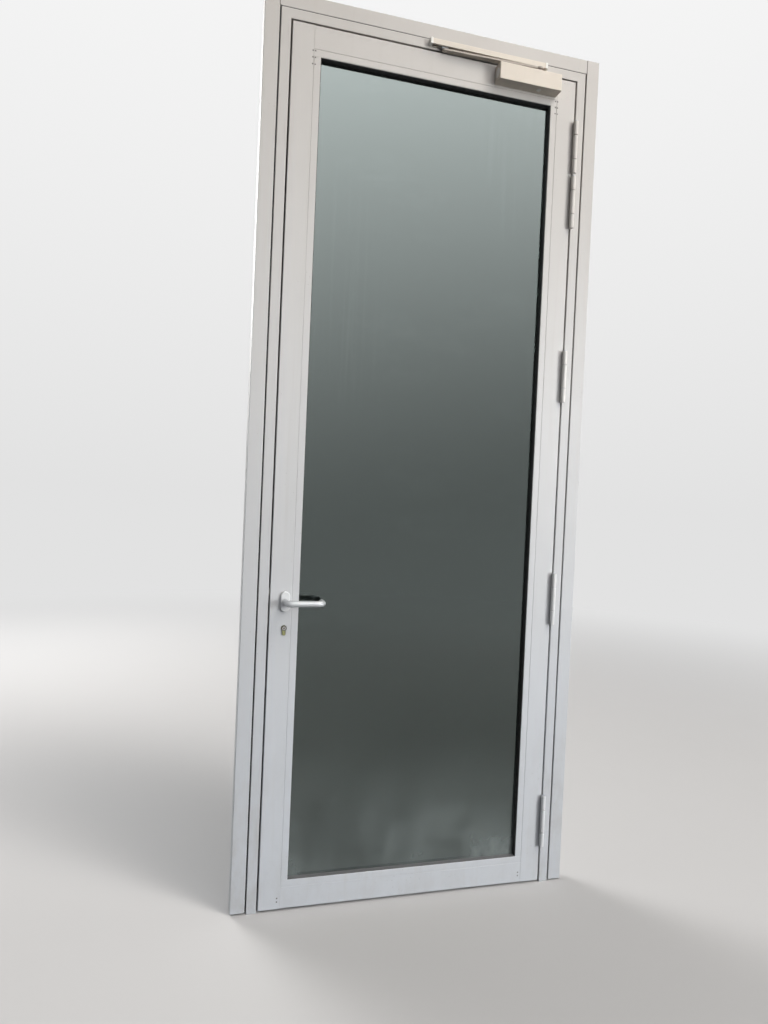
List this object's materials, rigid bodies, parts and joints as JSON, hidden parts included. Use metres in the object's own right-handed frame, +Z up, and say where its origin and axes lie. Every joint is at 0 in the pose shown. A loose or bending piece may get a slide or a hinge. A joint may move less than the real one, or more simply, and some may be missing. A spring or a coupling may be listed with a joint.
{
  "type": "glazed entrance door with frame",
  "caption": "Tall outward-opening door leaf of metal profile with insulating glass, in a stepped frame, with lever handle, profile cylinder and closer with guide rail",
  "frame": {"origin": "on the floor under the middle of the frame's width and of the leaf's thickness", "axes": "+Z up; the outside looks towards -Y and the leaf opens that way; the hinges are at +X"},
  "size_m": [1.255, 0.189, 3.1295],
  "materials": {
    "frame_lacquer": "light warm grey satin lacquer, slightly dusty",
    "leaf_lacquer": "light grey satin lacquer, slightly dusty",
    "hinge_lacquer": "off-white satin lacquer",
    "closer_lacquer": "cream satin lacquer",
    "rail_lacquer": "cream satin lacquer, a little darker",
    "cap_plastic": "cream moulded caps",
    "black_rubber": "matt black rubber",
    "glass": "grey-green tinted, strongly reflecting",
    "spacer_metal": "dull rolled aluminium",
    "handle_metal": "satin round bar",
    "rosette_lacquer": "off-white satin",
    "cylinder_nickel": "satin nickel plug face",
    "cylinder_brass": "dull weathered brass",
    "zinc_steel": "zinc-plated steel",
    "pin_steel": "dull dark pin heads",
    "bright_steel": "brushed stainless steel",
    "machined_steel": "machined, lightly oiled steel",
    "grey_plastic": "moulded grey plastic"
  },
  "bodies": {
    "frame": {"outer_jamb_lock": "frame_lacquer", "outer_jamb_hinge": "frame_lacquer", "outer_head": "frame_lacquer", "inner_jamb_lock": "frame_lacquer", "inner_jamb_hinge": "frame_lacquer", "inner_head": "frame_lacquer", "joint_strips": "black_rubber", "coupling_screws": "zinc_steel", "frame_seal": "black_rubber", "strike_plate": "bright_steel", "hardware_screws": "zinc_steel", "closer_rail": "rail_lacquer", "rail_end_caps": "cap_plastic", "hinge_pins": "zinc_steel", "hinge_frame_1": "hinge_lacquer", "hinge_frame_2": "hinge_lacquer", "hinge_frame_3": "hinge_lacquer", "hinge_frame_4": "hinge_lacquer", "hinge_frame_5": "hinge_lacquer"},
    "leaf": {"lock_stile": "leaf_lacquer", "hinge_stile": "leaf_lacquer", "top_rail": "leaf_lacquer", "bottom_rail": "leaf_lacquer", "bead_studs": "zinc_steel", "bead_lock": "leaf_lacquer", "bead_hinge": "leaf_lacquer", "bead_bottom": "leaf_lacquer", "bead_top": "leaf_lacquer", "corner_pins": "pin_steel", "outer_pane": "glass", "inner_pane": "glass", "glazing_spacer": "spacer_metal", "outer_gasket": "black_rubber", "inner_gasket": "black_rubber", "setting_blocks": "grey_plastic", "lock_case": "zinc_steel", "lock_faceplate": "bright_steel", "faceplate_screws": "zinc_steel", "rosette_outer": "rosette_lacquer", "rosette_inner": "rosette_lacquer", "cylinder_body": "cylinder_brass", "closer_body": "closer_lacquer", "closer_plugs": "cap_plastic", "closer_spring": "machined_steel", "hinge_leaf_1": "hinge_lacquer", "hinge_leaf_2": "hinge_lacquer", "hinge_leaf_3": "hinge_lacquer", "hinge_leaf_4": "hinge_lacquer", "hinge_leaf_5": "hinge_lacquer"},
    "handle": {"handle_spindle": "zinc_steel", "lever_outer": "handle_metal", "lever_inner": "handle_metal", "lock_follower": "zinc_steel"},
    "latch": {"latch_bolt": "bright_steel"},
    "cylinder": {"cylinder_plug": "cylinder_nickel"},
    "deadbolt": {"deadbolt": "bright_steel"},
    "arm": {"closer_arm": "rail_lacquer", "closer_shaft": "machined_steel"},
    "slider": {"rail_slider": "grey_plastic"},
    "piston": {"closer_piston": "machined_steel"}
  },
  "joints": [
    {"name": "door_swing", "type": "hinge", "parent": "frame", "child": "leaf", "pos_m": [0.5355, -0.037, 0], "axis": [0, 0, 1], "range_deg": [0, 110], "stiffness_Nm_per_rad": 8, "springref_deg": -45.84},
    {"name": "handle_turn", "type": "hinge", "parent": "leaf", "child": "handle", "pos_m": [-0.481, 0, 1.0795], "axis": [0, 1, 0], "range_deg": [0, 40], "stiffness_Nm_per_rad": 1.2, "springref_deg": -22.92},
    {"name": "latch_slide", "type": "slide", "parent": "leaf", "child": "latch", "axis": [1, 0, 0], "range_m": [0, 0.011]},
    {"name": "cylinder_turn", "type": "hinge", "parent": "leaf", "child": "cylinder", "pos_m": [-0.481, 0, 0.9875], "axis": [0, 1, 0], "range_deg": [0, 360]},
    {"name": "deadbolt_slide", "type": "slide", "parent": "leaf", "child": "deadbolt", "axis": [-1, 0, 0], "range_m": [0, 0.02]},
    {"name": "arm_turn", "type": "hinge", "parent": "leaf", "child": "arm", "pos_m": [0.3695, -0.049, 0], "axis": [0, 0, 1], "range_deg": [-133, 0]},
    {"name": "slider_slide", "type": "slide", "parent": "frame", "child": "slider", "axis": [1, 0, 0], "range_m": [0, 0.268]},
    {"name": "piston_slide", "type": "slide", "parent": "leaf", "child": "piston", "axis": [-1, 0, 0], "range_m": [0, 0.006], "deforming": ["closer_spring"]}
  ],
  "couplings": [
    {"joint": "latch_slide", "follows": "handle_turn", "m_per_rad": 0.015756},
    {"joint": "cylinder_turn", "follows": "deadbolt_slide", "rad_per_m": 314.16},
    {"joint": "arm_turn", "follows": "door_swing", "ratio": -1.206},
    {"joint": "slider_slide", "follows": "door_swing", "m_per_rad": 0.13922},
    {"joint": "piston_slide", "follows": "door_swing", "m_per_rad": 0.0031252}
  ]
}
